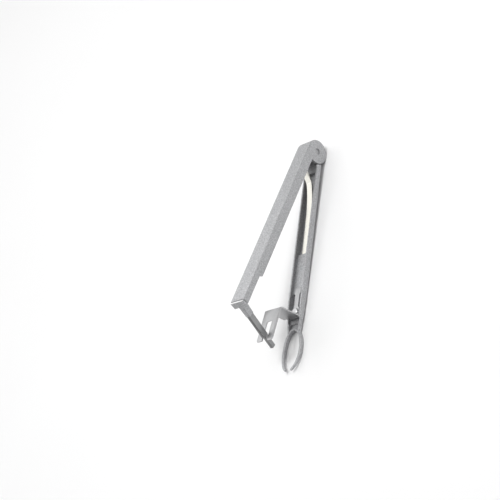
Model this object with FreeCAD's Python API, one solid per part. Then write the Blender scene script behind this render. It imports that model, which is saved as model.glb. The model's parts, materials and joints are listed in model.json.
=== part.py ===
"""Hand cherry pitter: two cast arms on one pivot pin, opened by a leaf spring.

Millimetres, +Z up. The lower arm lies along +X and the press lever stands open above it.
Every piece is first drawn about the pivot axis, which runs along Y, and is then moved so that
the origin is on the surface under the pitter, midway along its length.
"""
import FreeCAD, Part
import math
import os

# Driving dimensions
OPEN_ANGLE = 17.5         # between the lever and the lower arm, at rest
REST_TILT = 1.778         # of the lower arm, as the pitter stands on its hub and cup ring
ARM_WIDTH = 11.4          # both arms, across the outer faces
SIDE_PLAY = 0.12          # between the lever's cheeks and the lower arm's tongue
RUNNING_FIT = 0.05        # radial, pivot pin in the tongue

# Press lever, drawn level along +X before it is opened
HUB_RADIUS = 8.1          # the lever's top face is tangent to the hub
CHEEK = 2.3
EDGE_ROUND = 0.5          # along the top and around the hub
TOP_PLATE = 1.3
LEVER_WALL = 1.3
LEVER_LENGTH = 129.4      # pivot to the end of the channel
LEVER_DEEP = 1.7          # lower edge of the deep side walls
LEVER_SHALLOW = 3.7       # lower edge of the shallow walls that pass over the stripper
STEP_AT = 107.0
STEP_RUN = 1.2
CHANNEL_START = 13.0
WRAP_END_ANGLE = 205.0    # where the rear web around the hub ends
RIB_AT = 14.0             # the cross rib that the leaf spring pushes on
RIB_THICK = 1.5
RIB_FOOT = 1.7

# Lower arm
TONGUE_RADIUS = 6.4
TONGUE_ROOT = 14.0
ROOT_TOP = -1.5
HUB_GAP = 0.9             # between the hub and the curved start of the side walls
ARM_WALL = 1.0
ARM_BOTTOM = -4.9
RIM_AT_HUB = -0.9
RIM_AT_CUP = 0.3
RIM_DROP = 0.4            # the rim meets the ring this far above the ring's top
FLOOR_TOP = -4.0
UNDERSIDE_RISE_AT = 92.0  # from here the underside rises towards the waist behind the ring
WAIST_BOTTOM = -4.0
WAIST_FLOOR = -2.9
ARM_EDGE = 1.1            # rounding along the underside
PAD_START = 71.2          # raised pad that holds the spring's tail and the stripper's foot
PAD_END = 119.0
PAD_TOP = -2.0
RIM_FALL_START = 108.0    # from here the side walls fall towards the cup ring
RIM_FALL_END = 124.0
WAIST_START = 112.0       # the arm narrows from here to the waist behind the ring
WAIST_AT = 123.5
WAIST = 10.0
GROOVE_START = 98.5       # a deep groove runs along each side of the stripper's foot
GROOVE_END = 108.3
GROOVE_INNER = 2.1
GROOVE_FLOOR = -3.4
STOP_START_ANGLE = 229.5
STOP_END_ANGLE = 262.0
STOP_RADIUS = 7.7
STOP_CROWN = 0.35

# Cup ring at the end of the lower arm
RING_CENTRE = 136.3
RING_HALF_LENGTH = 14.3
RING_HALF_WIDTH = 7.9
RING_BAND = 1.7
RING_TIP_BAND = 1.2
RING_MOUTH = 4.6          # gap between the two prong ends
RING_HEIGHT = 2.1
RING_TIP_HEIGHT = 1.5
RING_DIP = -3.8
RING_DIP_SETBACK = 2.0    # the lowest point lies this far behind the ring's centre
RING_FRONT_BOTTOM = -1.1

# Pins and rivet
PIVOT_RADIUS = 2.0
PIVOT_RECESS = 0.6
PIN_CHAMFER = 0.4
HOLDER_PIN_RADIUS = 1.1
HOLDER_PIN_AT = (124.4, 5.3)
HOLDER_PIN_INSET = 0.05
RIVET_RADIUS = 1.5
RIVET_HEAD_RADIUS = 2.3
RIVET_HEAD_HEIGHT = 0.8
RIVET_CROWN = 0.5
RIVET_AT = 110.8
RIVET_SINK = 0.9
RIVET_FOOT = -4.1         # the spread tail lies a little inside the underside

# Leaf spring
SPRING_THICK = 0.7
SPRING_WIDTH = 4.5
SPRING_TAIL = 4.0         # length held in the pad's socket
SPRING_LEVEL = -3.5       # middle of the sheet where it lies on the floor
SPRING_RISE_AT = 69.2     # from here the strip rises in a straight line to its bend
SPRING_BEND = (22.0, -1.4)
SPRING_KNEE = (17.4, 1.8)
SPRING_CREST = (13.8, 5.4)
SPRING_TIP = (11.4, 4.8)
SPRING_BEND_RADIUS = 1.2
SOCKET_PLAY = 0.35
SOCKET_SIDE_PLAY = 0.2
SOCKET_END_PLAY = 0.4

# Stripper, bent from one sheet
SHEET = 0.8
FOOT_OUTLINE = [          # plan of the foot's edge: along the arm, half width
    (94.5, 1.9), (95.3, 2.7), (98.0, 2.7), (99.2, 1.8), (107.2, 1.8), (108.4, 2.7),
]
BACK_AT = 116.0           # outer face of the upright back
NECK_WIDTH = 8.2
SHOULDER = 1.1            # the back is full width above this height
ROOF_WIDTH = 13.6
ROOF_BACK = 17.0
ROOF_FRONT_AT = 137.8
ROOF_FRONT = 21.1
BEND = 1.3                # middle radius of both bends
SLOT_WIDTH = 4.4
SLOT_END = 124.3
SLOT_CORNER = 0.9
ROOF_CORNER = 2.0
PRONG_TIP = 1.3

# Plunger holder and rod, drawn with the level lever
CAP_GAP = 0.3             # open joint between the lever's end and the cap
CAP_TOP_END = 130.9
CAP_FOOT_END = 131.4
CAP_BOTTOM = 3.3
CAP_INSET = 0.3
CAP_ROUND = 0.5
BLOCK_START = 121.6
ROD_AT = 128.7            # middle of the collar, level with the lever's lower edge
COLLAR_TOP_LENGTH = 4.8
COLLAR_BOTTOM_LENGTH = 4.0
COLLAR_WIDTH = 3.4
COLLAR_DEPTH = -4.6
COLLAR_INTO_CAP = 0.6
ROD_TILT = 14.5           # the rod leans away from the pivot, so that it enters the cup upright
ROD_LENGTH = 4.2
ROD_WIDTH = 2.2
ROD_STEP = -21.0
TIP_LENGTH = 3.0
TIP_SETBACK = 0.3
TIP_CHAMFER = 0.5
TIP_END = -30.0
TANG_LENGTH = 2.8
TANG_WIDTH = 1.6
TANG_TOP = 3.4

Y_AXIS = FreeCAD.Vector(0, 1, 0)
HALF = ARM_WIDTH / 2
INNER = HALF - LEVER_WALL
ARM_INNER = HALF - ARM_WALL
CHEEK_INNER = HALF - CHEEK
RING_FRONT = RING_CENTRE + RING_HALF_LENGTH
TOP_INSIDE = HUB_RADIUS - TOP_PLATE
FAR = 60.0                # reach of cutting tools past the metal
PAST = 1.0                # overlap where one outline has to pass another
MERGE = 0.2               # overlap of shapes that become one piece
TINY = 0.01


def point(x, z, y=0.0):
    return FreeCAD.Vector(x, y, z)


def block(x0, x1, half_width, z0, z1):
    """A box that is centred on Y."""
    return Part.makeBox(x1 - x0, 2 * half_width, z1 - z0, point(x0, z0, -half_width))


def rod_y(x, z, radius, half_width):
    """A cylinder along Y."""
    return Part.makeCylinder(radius, 2 * half_width, point(x, z, -half_width), Y_AXIS)


def side_prism(points, half_width):
    """A side outline of straight lines, made solid across Y."""
    wire = Part.makePolygon([point(x, z, -half_width) for x, z in points + points[:1]])
    return Part.Face(wire).extrude(Y_AXIS * 2 * half_width)


def plan_prism(points, z0, z1):
    """A plan outline of straight lines, made solid along Z."""
    wire = Part.makePolygon([point(x, z0, y) for x, y in points + points[:1]])
    return Part.Face(wire).extrude(FreeCAD.Vector(0, 0, z1 - z0))


def edges_outline(edges, half_width):
    """A side outline of lines and arcs, made solid across Y."""
    face = Part.Face(Part.Wire([curve.toShape() for curve in edges]))
    face.translate(FreeCAD.Vector(0, -half_width, 0))
    return face.extrude(Y_AXIS * 2 * half_width)


def on_hub(radius, degrees):
    angle = math.radians(degrees)
    return point(radius * math.cos(angle), radius * math.sin(angle))


def line(a, b):
    return Part.LineSegment(a, b)


def round_edges(shape, radius, wanted):
    edges = [edge for edge in shape.Edges if wanted(edge)]
    return shape.makeFillet(radius, edges)


def left_of(direction):
    """The direction turned a quarter turn, seen from the side."""
    return FreeCAD.Vector(-direction.z, 0, direction.x)


def leg_and_bend(start, corner, after_corner, radius, half):
    """Both faces of one straight leg of a sheet and the bend after it, and where the bend ends."""
    before = (corner - start).normalize()
    after = (after_corner - corner).normalize()
    side = 1.0 if before.x * after.z - before.z * after.x > 0 else -1.0
    tangent = radius * math.tan(before.getAngle(after) / 2)
    normal_in = left_of(before)
    normal_out = left_of(after)
    middle = (normal_in + normal_out).normalize()
    centre = corner - before * tangent + normal_in * side * radius
    faces = []
    for offset in (half, -half):
        reach = side * radius - offset
        a = centre - normal_in * reach
        b = centre - middle * reach
        c = centre - normal_out * reach
        faces.append([line(start + normal_in * offset, a), Part.Arc(a, b, c)])
    return faces, corner + after * tangent


def bent_sheet(corners, radius, thickness, half_width):
    """A strip of sheet that follows corners joined by round bends, across Y.

    corners are (x, z) points on the middle of the sheet.
    """
    path = [point(x, z) for x, z in corners]
    left = []
    right = []
    start = path[0]
    for corner, after_corner in zip(path[1:], path[2:]):
        faces, start = leg_and_bend(start, corner, after_corner, radius, thickness / 2)
        left += faces[0]
        right += faces[1]
    offset = left_of((path[-1] - start).normalize()) * (thickness / 2)
    left.append(line(start + offset, path[-1] + offset))
    right.append(line(start - offset, path[-1] - offset))
    end_cap = line(left[-1].EndPoint, right[-1].EndPoint)
    start_cap = line(right[0].StartPoint, left[0].StartPoint)
    shapes = [curve.toShape() for curve in left + [end_cap] + right + [start_cap]]
    face = Part.Face(Part.Wire(Part.sortEdges(shapes)[0]))
    face.translate(FreeCAD.Vector(0, -half_width, 0))
    return face.extrude(Y_AXIS * 2 * half_width)


def lever_arm():
    """Cast press lever: an inverted channel with a hub cheek on each side."""
    hub = rod_y(0, 0, HUB_RADIUS, HALF)
    hub = round_edges(hub, EDGE_ROUND, lambda edge: edge.BoundBox.YLength < TINY)
    beam = side_prism([
        (0, HUB_RADIUS), (LEVER_LENGTH, HUB_RADIUS), (LEVER_LENGTH, LEVER_SHALLOW),
        (STEP_AT + STEP_RUN, LEVER_SHALLOW), (STEP_AT, LEVER_DEEP), (0, LEVER_DEEP),
    ], HALF)

    def top_edge(edge):
        box = edge.BoundBox
        return box.ZMin > HUB_RADIUS - TINY and box.YLength < TINY

    beam = round_edges(beam, EDGE_ROUND, top_edge)
    lever = hub.fuse(beam).removeSplitter()
    channel = block(CHANNEL_START, LEVER_LENGTH + FAR, INNER, -FAR, TOP_INSIDE)
    wrap_end = on_hub(FAR, WRAP_END_ANGLE)
    throat = side_prism([
        (0, 0), (wrap_end.x, wrap_end.z), (wrap_end.x, -FAR),
        (CHANNEL_START + PAST, -FAR), (CHANNEL_START + PAST, TOP_INSIDE), (0, TOP_INSIDE),
    ], CHEEK_INNER)
    hub_room = rod_y(0, 0, TOP_INSIDE, CHEEK_INNER)
    lever = lever.cut(channel).cut(throat).cut(hub_room)
    rib = block(RIB_AT, RIB_AT + RIB_THICK, INNER + MERGE, RIB_FOOT, TOP_INSIDE + MERGE)
    lever = lever.fuse(rib)
    lever = lever.cut(rod_y(0, 0, PIVOT_RADIUS, FAR))
    lever = lever.cut(rod_y(*HOLDER_PIN_AT, HOLDER_PIN_RADIUS, FAR))
    return lever.removeSplitter()


def cup_ring():
    """Open ring of two curved prongs, drawn as an upright oval band."""
    def oval(half_length, half_width):
        ellipse = Part.Ellipse(FreeCAD.Vector(0, 0, 0), half_length, half_width)
        face = Part.Face(Part.Wire(ellipse.toShape()))
        face.translate(point(RING_CENTRE, -FAR))
        return face.extrude(FreeCAD.Vector(0, 0, 2 * FAR))

    outer = oval(RING_HALF_LENGTH, RING_HALF_WIDTH)
    inner = oval(RING_HALF_LENGTH - RING_TIP_BAND, RING_HALF_WIDTH - RING_BAND)
    mouth = block(RING_CENTRE, RING_CENTRE + FAR, RING_MOUTH / 2, -FAR, FAR)
    return outer, inner, mouth


def arm_side_outline():
    """Side outline of the channel and the ring.

    The underside is level under the channel, a little higher under the waist, and curves down
    under the ring and up again to the front.
    """
    front = RING_FRONT + PAST
    dip = RING_CENTRE - RING_DIP_SETBACK
    top_front = point(front, RING_FRONT_BOTTOM + RING_TIP_HEIGHT)
    top_dip = point(dip, RING_DIP + RING_HEIGHT)
    top_fall = point(RIM_FALL_END, RING_DIP + RING_HEIGHT + RIM_DROP)
    bottom_front = point(front, RING_FRONT_BOTTOM)
    bottom_dip = point(dip, RING_DIP)
    rise_start = point(UNDERSIDE_RISE_AT, ARM_BOTTOM)
    rise_end = point(PAD_END, WAIST_BOTTOM)
    return [
        line(point(0, ARM_BOTTOM), rise_start),
        line(rise_start, rise_end),
        Part.Arc(rise_end, bottom_dip, bottom_front),
        line(bottom_front, top_front),
        Part.Arc(top_front, top_dip, top_fall),
        line(top_fall, point(RIM_FALL_START, RIM_AT_CUP)),
        line(point(RIM_FALL_START, RIM_AT_CUP), point(0, RIM_AT_HUB)),
        line(point(0, RIM_AT_HUB), point(0, ARM_BOTTOM)),
    ]


def arm_blank(outer_oval, inner_oval, mouth):
    """The lower arm without its channel: plan outline and side outline combined."""
    waist = WAIST / 2
    plan = plan_prism([
        (0, -HALF), (WAIST_START, -HALF), (WAIST_AT, -waist), (RING_CENTRE, -waist),
        (RING_CENTRE, waist), (WAIST_AT, waist), (WAIST_START, HALF), (0, HALF),
    ], -FAR, FAR)
    plan = plan.fuse(outer_oval).cut(inner_oval).cut(mouth)
    blank = edges_outline(arm_side_outline(), RING_HALF_WIDTH + PAST).common(plan)

    def under_edge(edge):
        box = edge.BoundBox
        on_side = abs(abs(box.Center.y) - HALF) < TINY and box.YLength < TINY
        return on_side and abs(box.ZMin - ARM_BOTTOM) < TINY and box.XMax < WAIST_START + TINY

    return round_edges(blank, ARM_EDGE, under_edge)


def channel_room(outer_oval):
    """Everything that is hollow between the lower arm's side walls."""
    front = block(PAD_END, RING_CENTRE, WAIST / 2 - ARM_WALL, WAIST_FLOOR, FAR).cut(outer_oval)
    room = [
        block(TONGUE_ROOT, PAD_START, ARM_INNER, FLOOR_TOP, FAR),
        block(PAD_START, PAD_END, ARM_INNER, PAD_TOP, FAR),
        front,
        rod_y(0, 0, HUB_RADIUS + HUB_GAP, FAR),
    ]
    groove_half = (ARM_INNER - GROOVE_INNER) / 2
    for side in (-1, 1):
        groove = block(GROOVE_START, GROOVE_END, groove_half, GROOVE_FLOOR, FAR)
        groove.translate(Y_AXIS * side * (ARM_INNER - groove_half))
        room.append(groove)
    return room


def hub_tongue():
    """Tongue between the lever's cheeks, with a stop lug and a broad root under the channel."""
    half = CHEEK_INNER - SIDE_PLAY
    tongue = rod_y(0, 0, TONGUE_RADIUS, half)
    bar = block(0, TONGUE_ROOT, half, ARM_BOTTOM, ROOT_TOP)
    stop_middle = (STOP_START_ANGLE + STOP_END_ANGLE) / 2
    corners = [
        on_hub(STOP_RADIUS, STOP_START_ANGLE),
        on_hub(STOP_RADIUS + STOP_CROWN, stop_middle),
        on_hub(STOP_RADIUS, STOP_END_ANGLE),
    ]
    stop = side_prism([(0, 0)] + [(corner.x, corner.z) for corner in corners], half)
    root = block(HUB_RADIUS, TONGUE_ROOT, ARM_INNER, ARM_BOTTOM, ROOT_TOP)
    root = root.cut(rod_y(0, 0, HUB_RADIUS + HUB_GAP, FAR))
    return [tongue, bar, stop, root]


def rivet_room():
    """Hole and countersink for the stripper's rivet."""
    shank = Part.makeCylinder(RIVET_RADIUS, FAR, point(RIVET_AT, -FAR / 2))
    sink = Part.makeCone(RIVET_RADIUS + RIVET_SINK, RIVET_RADIUS, RIVET_SINK,
                         point(RIVET_AT, RIVET_FOOT))
    recess = Part.makeCylinder(RIVET_RADIUS + RIVET_SINK, FAR, point(RIVET_AT, RIVET_FOOT - FAR))
    return [shank, sink, recess]


def body_arm():
    """Cast lower arm: hub tongue, open channel and cup ring in one piece."""
    outer_oval, inner_oval, mouth = cup_ring()
    arm = arm_blank(outer_oval, inner_oval, mouth)
    arm = arm.cut(channel_room(outer_oval))
    arm = arm.cut(block(0, TONGUE_ROOT, ARM_INNER, ROOT_TOP, FAR))
    arm = arm.fuse(hub_tongue())
    arm = arm.cut(rod_y(0, 0, PIVOT_RADIUS + RUNNING_FIT, FAR))
    socket_top = SPRING_LEVEL + SPRING_THICK / 2 + SOCKET_PLAY
    socket = block(PAD_START - MERGE, PAD_START + SPRING_TAIL + SOCKET_END_PLAY,
                   SPRING_WIDTH / 2 + SOCKET_SIDE_PLAY, FLOOR_TOP, socket_top)
    return arm.cut([socket] + rivet_room()).removeSplitter()


def pivot_pin():
    """Plain hardened pin, pressed into the lever's cheeks."""
    half_length = HALF - PIVOT_RECESS
    pin = rod_y(0, 0, PIVOT_RADIUS, half_length)
    ends = [edge for edge in pin.Edges if edge.BoundBox.YLength < TINY]
    return pin.makeChamfer(PIN_CHAMFER, ends)


def leaf_spring():
    """Spring strip: its tail sits in the pad's socket and its crest lifts the lever's rib."""
    corners = [
        (PAD_START + SPRING_TAIL, SPRING_LEVEL),
        (SPRING_RISE_AT, SPRING_LEVEL),
        SPRING_BEND,
        SPRING_KNEE,
        SPRING_CREST,
        SPRING_TIP,
    ]
    return bent_sheet(corners, SPRING_BEND_RADIUS, SPRING_THICK, SPRING_WIDTH / 2)


def foot_plan(back_start):
    """Plan of the stripper's foot: a broad nose, a narrow tongue and a broad rivet pad."""
    near_side = FOOT_OUTLINE + [(back_start, FOOT_OUTLINE[-1][1])]
    far_side = [(x, -half) for x, half in reversed(near_side)]
    return plan_prism(near_side + far_side, -FAR, FAR)


def roof_plan():
    """Plan of the stripper's roof: two prongs beside an open slot with rounded inner corners."""
    half = ROOF_WIDTH / 2
    front = ROOF_FRONT_AT + PAST
    roof = plan_prism([
        (BACK_AT, -half), (front - ROOF_CORNER, -half), (front, -half + PRONG_TIP),
        (front, half - PRONG_TIP), (front - ROOF_CORNER, half), (BACK_AT, half),
    ], 0, FAR)
    slot = block(SLOT_END, ROOF_FRONT_AT + FAR, SLOT_WIDTH / 2, 0, FAR)

    def inner_corner(edge):
        box = edge.BoundBox
        return box.XMax < SLOT_END + TINY and box.YLength < TINY

    return roof.cut(round_edges(slot, SLOT_CORNER, inner_corner))


def stripper_plate():
    """Bent sheet guard: foot in the arm, upright back, and a slotted roof over the fruit."""
    back_middle = BACK_AT - SHEET / 2
    foot_middle = PAD_TOP + SHEET / 2
    corners = [
        (FOOT_OUTLINE[0][0], foot_middle),
        (back_middle, foot_middle),
        (back_middle, ROOF_BACK),
        (ROOF_FRONT_AT, ROOF_FRONT),
    ]
    sheet = bent_sheet(corners, BEND, SHEET, ROOF_WIDTH / 2)
    back_start = BACK_AT - BEND - SHEET
    neck = block(back_start, BACK_AT + PAST, NECK_WIDTH / 2, -FAR, SHOULDER)
    shield = block(back_start, BACK_AT + PAST, ROOF_WIDTH / 2, SHOULDER, FAR)
    plate = sheet.common(foot_plan(back_start).fuse([neck, shield, roof_plan()]))
    plate = plate.cut(Part.makeCylinder(RIVET_RADIUS, FAR, point(RIVET_AT, -FAR / 2)))
    return plate.removeSplitter()


def stripper_rivet():
    """Rivet with a low head on the foot and its tail spread in the countersink below."""
    top = PAD_TOP + SHEET
    foot = point(RIVET_AT, RIVET_FOOT)
    shank = Part.makeCylinder(RIVET_RADIUS, top - RIVET_FOOT, foot)
    tail = Part.makeCone(RIVET_RADIUS + RIVET_SINK, RIVET_RADIUS, RIVET_SINK, foot)
    head = Part.makeCylinder(RIVET_HEAD_RADIUS, RIVET_HEAD_HEIGHT, point(RIVET_AT, top))
    head = round_edges(head, RIVET_CROWN, lambda edge: edge.BoundBox.ZMin > top + TINY)
    return shank.fuse([tail, head]).removeSplitter()


def tilted(shape):
    """Lean a rod or collar away from the pivot about the middle of the collar's top."""
    shape.rotate(point(ROD_AT, LEVER_SHALLOW), Y_AXIS, -ROD_TILT)
    return shape


def tang(bottom):
    """The rod's tang, down to the given level below the collar."""
    return block(ROD_AT - TANG_LENGTH / 2, ROD_AT + TANG_LENGTH / 2, TANG_WIDTH / 2, bottom, TANG_TOP)


def holder_cap():
    """Cap across the lever's end; its front face leans outward."""
    top = HUB_RADIUS - CAP_INSET
    back = LEVER_LENGTH + CAP_GAP
    cap = side_prism([
        (back, top), (CAP_TOP_END, top), (CAP_FOOT_END, CAP_BOTTOM), (back, CAP_BOTTOM),
    ], HALF - CAP_INSET)
    return round_edges(cap, CAP_ROUND, lambda edge: edge.BoundBox.XMin > back + TINY)


def plunger_holder():
    """Cast holder: a cap across the lever's end, a block between its walls, and a collar."""
    seat = block(BLOCK_START, LEVER_LENGTH + CAP_GAP + MERGE, INNER, LEVER_SHALLOW, TOP_INSIDE)
    collar = side_prism([
        (ROD_AT - COLLAR_TOP_LENGTH / 2, LEVER_SHALLOW + COLLAR_INTO_CAP),
        (ROD_AT + COLLAR_TOP_LENGTH / 2, LEVER_SHALLOW + COLLAR_INTO_CAP),
        (ROD_AT + COLLAR_BOTTOM_LENGTH / 2, COLLAR_DEPTH),
        (ROD_AT - COLLAR_BOTTOM_LENGTH / 2, COLLAR_DEPTH),
    ], COLLAR_WIDTH / 2)
    holder = holder_cap().fuse([seat, tilted(collar)])
    holder = holder.cut(tilted(tang(COLLAR_DEPTH - PAST)))
    holder = holder.cut(rod_y(*HOLDER_PIN_AT, HOLDER_PIN_RADIUS, FAR))
    return holder.removeSplitter()


def plunger_rod():
    """Flat rod with a narrower tip; its tang is fixed in the holder's collar."""
    rear = ROD_AT - ROD_LENGTH / 2
    tip_rear = rear + TIP_SETBACK
    shaft = block(rear, rear + ROD_LENGTH, ROD_WIDTH / 2, ROD_STEP, COLLAR_DEPTH)
    tip = block(tip_rear, tip_rear + TIP_LENGTH, ROD_WIDTH / 2, TIP_END, ROD_STEP)
    tip = tip.makeChamfer(TIP_CHAMFER, [edge for edge in tip.Edges if edge.BoundBox.ZMax < TIP_END + TINY])
    return tilted(tang(COLLAR_DEPTH - MERGE).fuse([shaft, tip]).removeSplitter())


def holder_pin():
    """Cross pin through the lever's walls and the holder's block, all but flush with both walls."""
    return rod_y(*HOLDER_PIN_AT, HOLDER_PIN_RADIUS, HALF - HOLDER_PIN_INSET)


def placed(pieces):
    """Open the lever, stand everything on hub and cup ring, and centre it over the origin."""
    for name, shape in pieces.items():
        turn = REST_TILT - (OPEN_ANGLE if name in ON_LEVER else 0.0)
        shape.rotate(FreeCAD.Vector(0, 0, 0), Y_AXIS, turn)
    box = Part.makeCompound(list(pieces.values())).optimalBoundingBox(False)
    for shape in pieces.values():
        shape.translate(point(-(box.XMin + box.XMax) / 2, -box.ZMin))
    return pieces


ON_LEVER = ("lever_arm", "pivot_pin", "plunger_holder", "plunger_rod", "holder_pin")
PIECES = placed({
    "body_arm": body_arm(),
    "leaf_spring": leaf_spring(),
    "stripper_plate": stripper_plate(),
    "stripper_rivet": stripper_rivet(),
    "lever_arm": lever_arm(),
    "pivot_pin": pivot_pin(),
    "plunger_holder": plunger_holder(),
    "plunger_rod": plunger_rod(),
    "holder_pin": holder_pin(),
})

os.makedirs("parts", exist_ok=True)
for name, solid in PIECES.items():
    box = solid.optimalBoundingBox(False)
    print(name, "solids", len(solid.Solids), "valid", solid.isValid(), "volume", round(solid.Volume, 1),
          "x", round(box.XMin, 3), round(box.XMax, 3), "y", round(box.YMin, 3), round(box.YMax, 3),
          "z", round(box.ZMin, 3), round(box.ZMax, 3))
    solid.exportStep("parts/" + name + ".step")
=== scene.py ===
import json
import math

import bmesh
import bpy
from mathutils import Matrix, Vector


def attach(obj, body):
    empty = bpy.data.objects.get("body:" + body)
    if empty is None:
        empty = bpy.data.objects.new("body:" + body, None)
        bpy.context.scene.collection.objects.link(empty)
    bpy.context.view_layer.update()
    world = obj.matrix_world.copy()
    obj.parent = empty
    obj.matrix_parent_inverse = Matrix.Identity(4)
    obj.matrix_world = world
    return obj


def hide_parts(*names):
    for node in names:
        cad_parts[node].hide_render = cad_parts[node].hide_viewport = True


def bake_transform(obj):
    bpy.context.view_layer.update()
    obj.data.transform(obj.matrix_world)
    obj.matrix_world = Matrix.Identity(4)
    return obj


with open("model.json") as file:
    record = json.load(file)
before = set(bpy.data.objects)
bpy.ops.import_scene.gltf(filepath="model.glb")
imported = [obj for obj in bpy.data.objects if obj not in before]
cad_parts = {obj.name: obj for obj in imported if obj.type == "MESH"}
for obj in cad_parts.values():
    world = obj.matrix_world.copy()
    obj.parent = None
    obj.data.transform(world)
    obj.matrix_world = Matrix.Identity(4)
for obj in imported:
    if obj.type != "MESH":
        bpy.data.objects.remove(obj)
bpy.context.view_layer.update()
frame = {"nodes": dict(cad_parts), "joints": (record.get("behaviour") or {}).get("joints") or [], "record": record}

MM = 0.001

# The drawing frame has its origin on the pivot axis and +X along the lower arm. At rest the front end
# dips by REST_TILT, because the tool stands on its hub and its cup ring.
PIVOT = next(Vector(joint["pos_m"]) for joint in frame["joints"] if joint["name"] == "lever_pivot")
REST_TILT = math.radians(1.778)

# The photograph's camera: its place in the drawing frame in millimetres, its directions there, its focal
# length in pixels, and the nearest and farthest distance that it sees, in metres
CAMERA_AT = (412.6, 551.74, 509.81)
CAMERA_FORWARD = (-0.41155, -0.69492, -0.58967)
CAMERA_UP = (-0.90377, 0.22772, 0.36241)
FOCAL_PX = 1310.5
IMAGE_WIDTH_PX = 500
SENSOR_MM = 36.0
CLIP_NEAR = 0.01
CLIP_FAR = 20.0

# The floor's half width, and how far under the table plane it lies so that it doesn't cut the feet, in metres
FLOOR_REACH = 3.0
FLOOR_DROP = 0.0002

# Softboxes: name, place, the point it is aimed at, width and height, all in metres, and power in watts
LIGHTS = [
    ("key_light", (-0.03, 0.20, 1.0), (0, 0, 0.02), (0.22, 0.22), 3.4),
    ("top_light", (-0.12, 0.22, 0.98), (0, 0, 0.02), (1.0, 1.0), 4.2),
    ("rear_light", (-0.45, -0.75, 0.85), (0, 0, 0.02), (1.6, 1.2), 6.4),
    ("front_light", (0.60, -0.95, 0.80), (0, 0, 0.02), (0.9, 0.6), 1.6),
    ("side_light", (0.10, 0.95, 0.20), (0, 0, 0.01), (0.9, 0.35), 0.6),
]
STUDIO_STRENGTH = 0.24

# Softened edges: an edge that turns by more than this angle in degrees is rounded, in this many steps
EDGE_ANGLE = 32
EDGE_STEPS = 2

# Welding a piece's own mesh: the gap that is closed in millimetres, and the turn in degrees that is flat
WELD_GAP = 0.002
FLAT_ANGLE = 0.5

# Leaf spring, in millimetres in the drawing frame: the strip's middle line as (x, z), from its socket
# upward. A curve is worked out in SPLINE_STEPS steps from each point to the next, and the strip's
# sections are spaced evenly along it.
STRIP_LINE = [
    (75.0, -3.5), (69.0, -3.5), (60.0, -3.5), (48.0, -3.5), (40.0, -3.46), (35.5, -3.24),
    (31.0, -2.8), (27.0, -2.2), (24.0, -1.62), (22.2, -1.15), (20.9, -0.6), (19.8, 0.2),
    (18.0, 1.7), (16.6, 2.95), (15.3, 4.3), (14.6, 4.95), (13.9, 5.25), (13.1, 5.2), (11.6, 4.85),
]
STRIP_THICKNESS = 0.7
STRIP_WIDTH = 4.5
STRIP_EDGE = 0.15
STRIP_SECTIONS = 96
SPLINE_STEPS = 16

# Most of a noise texture's values lie between these two.
NOISE_LOW = 0.3
NOISE_HIGH = 0.7

# Steel: the dark lines' share of its tone, and how far its roughness clouds to either side
STEEL_LINE_TONE = 0.90
STEEL_CLOUDING = 0.15

# A mix node has sockets for each kind of data, and these are the places of its colour sockets.
MIX_FIRST = 6
MIX_SECOND = 7
MIX_RESULT = 2


def to_row(vector):
    """A direction, or a place from the pivot, turned from the drawing frame into the frame at rest."""
    return Matrix.Rotation(REST_TILT, 3, "Y") @ Vector(vector)


def row_point(x, y, z):
    """A place in the drawing frame, in millimetres, as a place in the frame at rest, in metres."""
    return to_row((x, y, z)) * MM + PIVOT


def add_object(name, data):
    """An object that shows this mesh, light or camera."""
    made = bpy.data.objects.new(name, data)
    bpy.context.scene.collection.objects.link(made)
    return made


def make_camera():
    data = bpy.data.cameras.new("photo_camera")
    camera = add_object("photo_camera", data)
    data.sensor_width = SENSOR_MM
    data.lens = FOCAL_PX / IMAGE_WIDTH_PX * SENSOR_MM
    data.clip_start = CLIP_NEAR
    data.clip_end = CLIP_FAR
    back = -to_row(CAMERA_FORWARD).normalized()
    right = to_row(CAMERA_UP).cross(back).normalized()
    up = back.cross(right)
    turn = Matrix((right, up, back)).transposed().to_4x4()
    camera.matrix_world = Matrix.Translation(row_point(*CAMERA_AT)) @ turn
    bpy.context.scene.camera = camera


def grey(value, warmth=0.0):
    """A grey as red, green and blue, which leans to cream with warmth above 0 and to blue below it."""
    return (value * (1 + 0.5 * warmth), value, value * (1 - 2 * warmth))


def new_material(name):
    """A material with its node tree, its shader and its texture coordinates."""
    material = bpy.data.materials.new(name)
    material.use_nodes = True
    tree = material.node_tree
    shader = next(node for node in tree.nodes if node.type == "BSDF_PRINCIPLED")
    coords = tree.nodes.new("ShaderNodeTexCoord")
    return material, tree, shader, coords


def noise(tree, coords, scale, detail, fineness=(1, 1, 1)):
    """Noise with scale cells to the metre, times fineness along each axis."""
    mapping = tree.nodes.new("ShaderNodeMapping")
    mapping.inputs["Scale"].default_value = fineness
    tree.links.new(coords.outputs["Object"], mapping.inputs["Vector"])
    texture = tree.nodes.new("ShaderNodeTexNoise")
    texture.inputs["Scale"].default_value = scale
    texture.inputs["Detail"].default_value = detail
    tree.links.new(mapping.outputs["Vector"], texture.inputs["Vector"])
    return texture.outputs["Fac"]


def ramp(tree, source, colours, low=NOISE_LOW, high=NOISE_HIGH):
    """The source as a colour that passes evenly through the given ones from low to high."""
    node = tree.nodes.new("ShaderNodeValToRGB")
    elements = node.color_ramp.elements
    middle = (low + high) / 2
    while len(elements) < len(colours):
        elements.new(middle)
    for index, (element, colour) in enumerate(zip(elements, colours)):
        element.position = low + (high - low) * index / (len(colours) - 1)
        element.color = (*colour, 1.0)
    tree.links.new(source, node.inputs["Fac"])
    return node.outputs["Color"]


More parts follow.
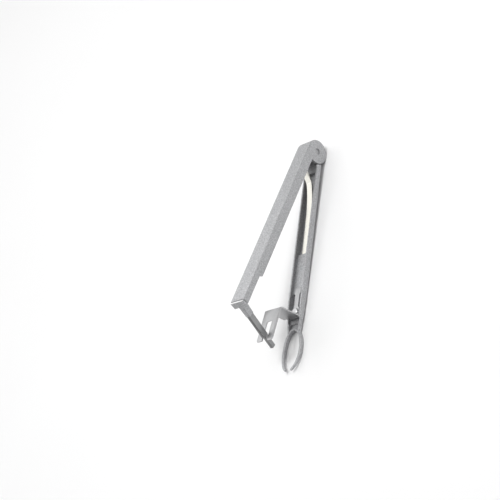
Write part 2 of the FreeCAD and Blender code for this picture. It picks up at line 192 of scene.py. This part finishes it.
def multiply(tree, first, second):
    mix = tree.nodes.new("ShaderNodeMix")
    mix.data_type = "RGBA"
    mix.blend_type = "MULTIPLY"
    mix.inputs["Factor"].default_value = 1.0
    tree.links.new(first, mix.inputs[MIX_FIRST])
    tree.links.new(second, mix.inputs[MIX_SECOND])
    return mix.outputs[MIX_RESULT]


def add_bump(tree, shader, height, strength, depth):
    """Fine relief of the given depth, in metres."""
    bump = tree.nodes.new("ShaderNodeBump")
    bump.inputs["Strength"].default_value = strength
    bump.inputs["Distance"].default_value = depth
    tree.links.new(height, bump.inputs["Height"])
    tree.links.new(bump.outputs["Normal"], shader.inputs["Normal"])


def painted_top_highlight(tree, coords, coated):
    """Painted highlight: a bright colour where the surface faces up, and the coating elsewhere."""
    facing = tree.nodes.new("ShaderNodeSeparateXYZ")
    tree.links.new(coords.outputs["Normal"], facing.inputs["Vector"])
    # Mask for the painted highlight: the faces that point up
    highlight_mask = ramp(tree, facing.outputs["Z"], [grey(0.0), grey(1.0)], low=0.88, high=0.95)
    mix = tree.nodes.new("ShaderNodeMix")
    mix.data_type = "RGBA"
    tree.links.new(highlight_mask, mix.inputs["Factor"])
    tree.links.new(coated, mix.inputs[MIX_FIRST])
    # Bright colour of the painted highlight on faces that point up
    mix.inputs[MIX_SECOND].default_value = (*grey(0.92), 1.0)
    return mix.outputs[MIX_RESULT]


def cast_metal(name, painted_highlight=False):
    """Fine-grained silver-grey coating on a die casting, with a painted highlight on its upward faces if asked."""
    material, tree, shader, coords = new_material(name)
    grain = noise(tree, coords, scale=3200.0, detail=2.0)
    speckle = noise(tree, coords, scale=1250.0, detail=3.0)
    cloud = noise(tree, coords, scale=70.0, detail=4.0)
    tone = ramp(tree, grain, [grey(0.40, -0.016), grey(0.50, -0.012), grey(0.61, -0.008)])
    fleck = ramp(tree, speckle, [grey(0.64), grey(0.93), grey(1.20)])
    patch = ramp(tree, cloud, [grey(0.94), grey(1.0)])
    colour = multiply(tree, multiply(tree, tone, fleck), patch)
    # Paint a highlight on the upward faces
    if painted_highlight:
        colour = painted_top_highlight(tree, coords, colour)
    roughness = ramp(tree, speckle, [grey(0.44), grey(0.56)])
    tree.links.new(colour, shader.inputs["Base Color"])
    tree.links.new(roughness, shader.inputs["Roughness"])
    shader.inputs["Metallic"].default_value = 0.45
    add_bump(tree, shader, speckle, strength=0.25, depth=0.08 * MM)
    return material


def steel(name, tone, roughness, fineness, relief, warmth=-0.005):
    """Bright steel. Where fineness differs by axis, fine lines run along the lowest axes."""
    material, tree, shader, coords = new_material(name)
    lines = noise(tree, coords, scale=900.0, detail=4.0, fineness=fineness)
    cloud = noise(tree, coords, scale=90.0, detail=2.0)
    colour = ramp(tree, lines, [grey(tone * STEEL_LINE_TONE, warmth), grey(tone, warmth)])
    smoothest = grey(roughness * (1 - STEEL_CLOUDING))
    roughest = grey(roughness * (1 + STEEL_CLOUDING))
    gloss = ramp(tree, cloud, [smoothest, roughest])
    tree.links.new(colour, shader.inputs["Base Color"])
    tree.links.new(gloss, shader.inputs["Roughness"])
    shader.inputs["Metallic"].default_value = 1.0
    add_bump(tree, shader, lines, strength=relief, depth=0.03 * MM)
    return material


def floor_material():
    material, tree, shader, coords = new_material("pale_floor")
    cloud = noise(tree, coords, scale=4.0, detail=2.0)
    tone = ramp(tree, cloud, [grey(0.93), grey(0.95)])
    tree.links.new(tone, shader.inputs["Base Color"])
    shader.inputs["Roughness"].default_value = 0.9
    shader.inputs["Specular IOR Level"].default_value = 0.1
    return material


def make_stage():
    sides = ((-1, -1), (1, -1), (1, 1), (-1, 1))
    corners = [(x * FLOOR_REACH, y * FLOOR_REACH, -FLOOR_DROP) for x, y in sides]
    mesh = bpy.data.meshes.new("floor")
    mesh.from_pydata(corners, [], [(0, 1, 2, 3)])
    mesh.materials.append(floor_material())
    floor = add_object("floor", mesh)


def area_light(name, at, target, size, power):
    data = bpy.data.lights.new(name, "AREA")
    data.shape = "RECTANGLE"
    data.size, data.size_y = size
    data.energy = power
    aim = Vector(target) - Vector(at)
    turn = aim.to_track_quat("-Z", "Y").to_matrix().to_4x4()
    lamp = add_object(name, data)
    lamp.matrix_world = Matrix.Translation(Vector(at)) @ turn


def light_scene():
    bpy.context.scene.view_settings.view_transform = "Standard"
    world = bpy.data.worlds.new("studio")
    world.use_nodes = True
    background = world.node_tree.nodes["Background"]
    background.inputs["Color"].default_value = (*grey(1.0), 1.0)
    background.inputs["Strength"].default_value = STUDIO_STRENGTH
    bpy.context.scene.world = world
    for light in LIGHTS:
        area_light(*light)


def finish_piece(piece, material, edge_width):
    """Give a piece its material and softened edges of a width in millimetres."""
    piece.data.materials.clear()
    piece.data.materials.append(material)
    for polygon in piece.data.polygons:
        polygon.material_index = 0
        polygon.use_smooth = True
    edge = piece.modifiers.new("edge", "BEVEL")
    edge.width = edge_width * MM
    edge.segments = EDGE_STEPS
    edge.limit_method = "ANGLE"
    edge.angle_limit = math.radians(EDGE_ANGLE)
    edge.harden_normals = True
    edge.use_clamp_overlap = True


def body_of(node):
    """The name of the moving body that carries a node."""
    bodies = frame["record"]["behaviour"]["bodies"]
    return next(body for body, nodes in bodies.items() if node in nodes)


def skin(node, material, edge_width):
    """A node's own shape as one welded surface, so that its edges can be softened."""
    mesh = frame["nodes"][node].data.copy()
    shape = bmesh.new()
    shape.from_mesh(mesh)
    bmesh.ops.remove_doubles(shape, verts=shape.verts, dist=WELD_GAP * MM)
    bmesh.ops.dissolve_limit(
        shape, angle_limit=math.radians(FLAT_ANGLE), verts=shape.verts, edges=shape.edges)
    bmesh.ops.recalc_face_normals(shape, faces=shape.faces)
    shape.to_mesh(mesh)
    shape.free()
    piece = add_object(node + "_skin", mesh)
    finish_piece(piece, material, edge_width)
    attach(piece, body_of(node))
    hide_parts(node)


def spline_point(before, start, end, beyond, part):
    """A point that far along the smooth curve from start to end, given the points on either side."""
    return 0.5 * (2 * start + (end - before) * part
                  + (2 * before - 5 * start + 4 * end - beyond) * part ** 2
                  + (3 * start - before - 3 * end + beyond) * part ** 3)


def even_line(points, count):
    """That many points evenly spaced along a smooth curve through the given ones."""
    last = len(points) - 1
    curve = []
    for index in range(last):
        around = [Vector(points[min(max(index + shift, 0), last)]) for shift in (-1, 0, 1, 2)]
        for step in range(SPLINE_STEPS):
            curve.append(spline_point(*around, step / SPLINE_STEPS))
    curve.append(Vector(points[last]))
    lengths = [0.0]
    for first, second in zip(curve, curve[1:]):
        lengths.append(lengths[-1] + (second - first).length)
    even = []
    place = 0
    for step in range(count):
        wanted = lengths[-1] * step / (count - 1)
        while place < len(lengths) - 2 and lengths[place + 1] < wanted:
            place += 1
        part = (wanted - lengths[place]) / (lengths[place + 1] - lengths[place])
        even.append(curve[place].lerp(curve[place + 1], min(part, 1.0)))
    return even


def strip_section(shape, at, along):
    """The strip's four corners at one place of its middle line, in order round the strip."""
    offset = Vector((-along.y, along.x)).normalized() * STRIP_THICKNESS / 2
    corners = []
    for face, side in ((1, 1), (1, -1), (-1, -1), (-1, 1)):
        spot = at + offset * face
        corners.append(shape.verts.new(row_point(spot.x, side * STRIP_WIDTH / 2, spot.y)))
    return corners


def spring_strip(material):
    """Polished strip with a long easy curve, an upward bend and a rounded crest."""
    line = even_line(STRIP_LINE, STRIP_SECTIONS)
    shape = bmesh.new()
    sections = []
    for index, at in enumerate(line):
        along = line[min(index + 1, len(line) - 1)] - line[max(index - 1, 0)]
        sections.append(strip_section(shape, at, along))
    for first, second in zip(sections, sections[1:]):
        for corner in range(len(first)):
            after = (corner + 1) % len(first)
            shape.faces.new((first[corner], first[after], second[after], second[corner]))
    shape.faces.new(sections[0][::-1])
    shape.faces.new(sections[-1])
    bmesh.ops.recalc_face_normals(shape, faces=shape.faces)
    mesh = bpy.data.meshes.new("spring_strip")
    shape.to_mesh(mesh)
    shape.free()
    piece = add_object("spring_strip", mesh)
    finish_piece(piece, material, STRIP_EDGE)
    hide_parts("leaf_spring")
    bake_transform(piece)


def make_pieces():
    coating = cast_metal("cast_coating")
    # The cap's coating carries a painted highlight on its upward faces
    cap = cast_metal("cap_coating_painted_highlight", painted_highlight=True)
    strip = steel("polished_strip", tone=0.80, roughness=0.22, fineness=(1, 20, 1), relief=0.05, warmth=0.04)
    sheet = steel("rolled_sheet", tone=0.52, roughness=0.38, fineness=(1, 14, 1), relief=0.10)
    rod = steel("rod_steel", tone=0.34, roughness=0.45, fineness=(6, 6, 1), relief=0.15)
    rivet = steel("rivet_steel", tone=0.62, roughness=0.32, fineness=(1, 1, 1), relief=0.10)
    skin("body_arm", coating, edge_width=0.2)
    skin("lever_arm", coating, edge_width=0.2)
    skin("plunger_holder", cap, edge_width=0.15)
    spring_strip(strip)
    skin("stripper_plate", sheet, edge_width=0.12)
    skin("plunger_rod", rod, edge_width=0.2)
    skin("pivot_pin", coating, edge_width=0.1)
    skin("holder_pin", coating, edge_width=0.05)
    skin("stripper_rivet", rivet, edge_width=0.1)


make_camera()
make_stage()
light_scene()
make_pieces()
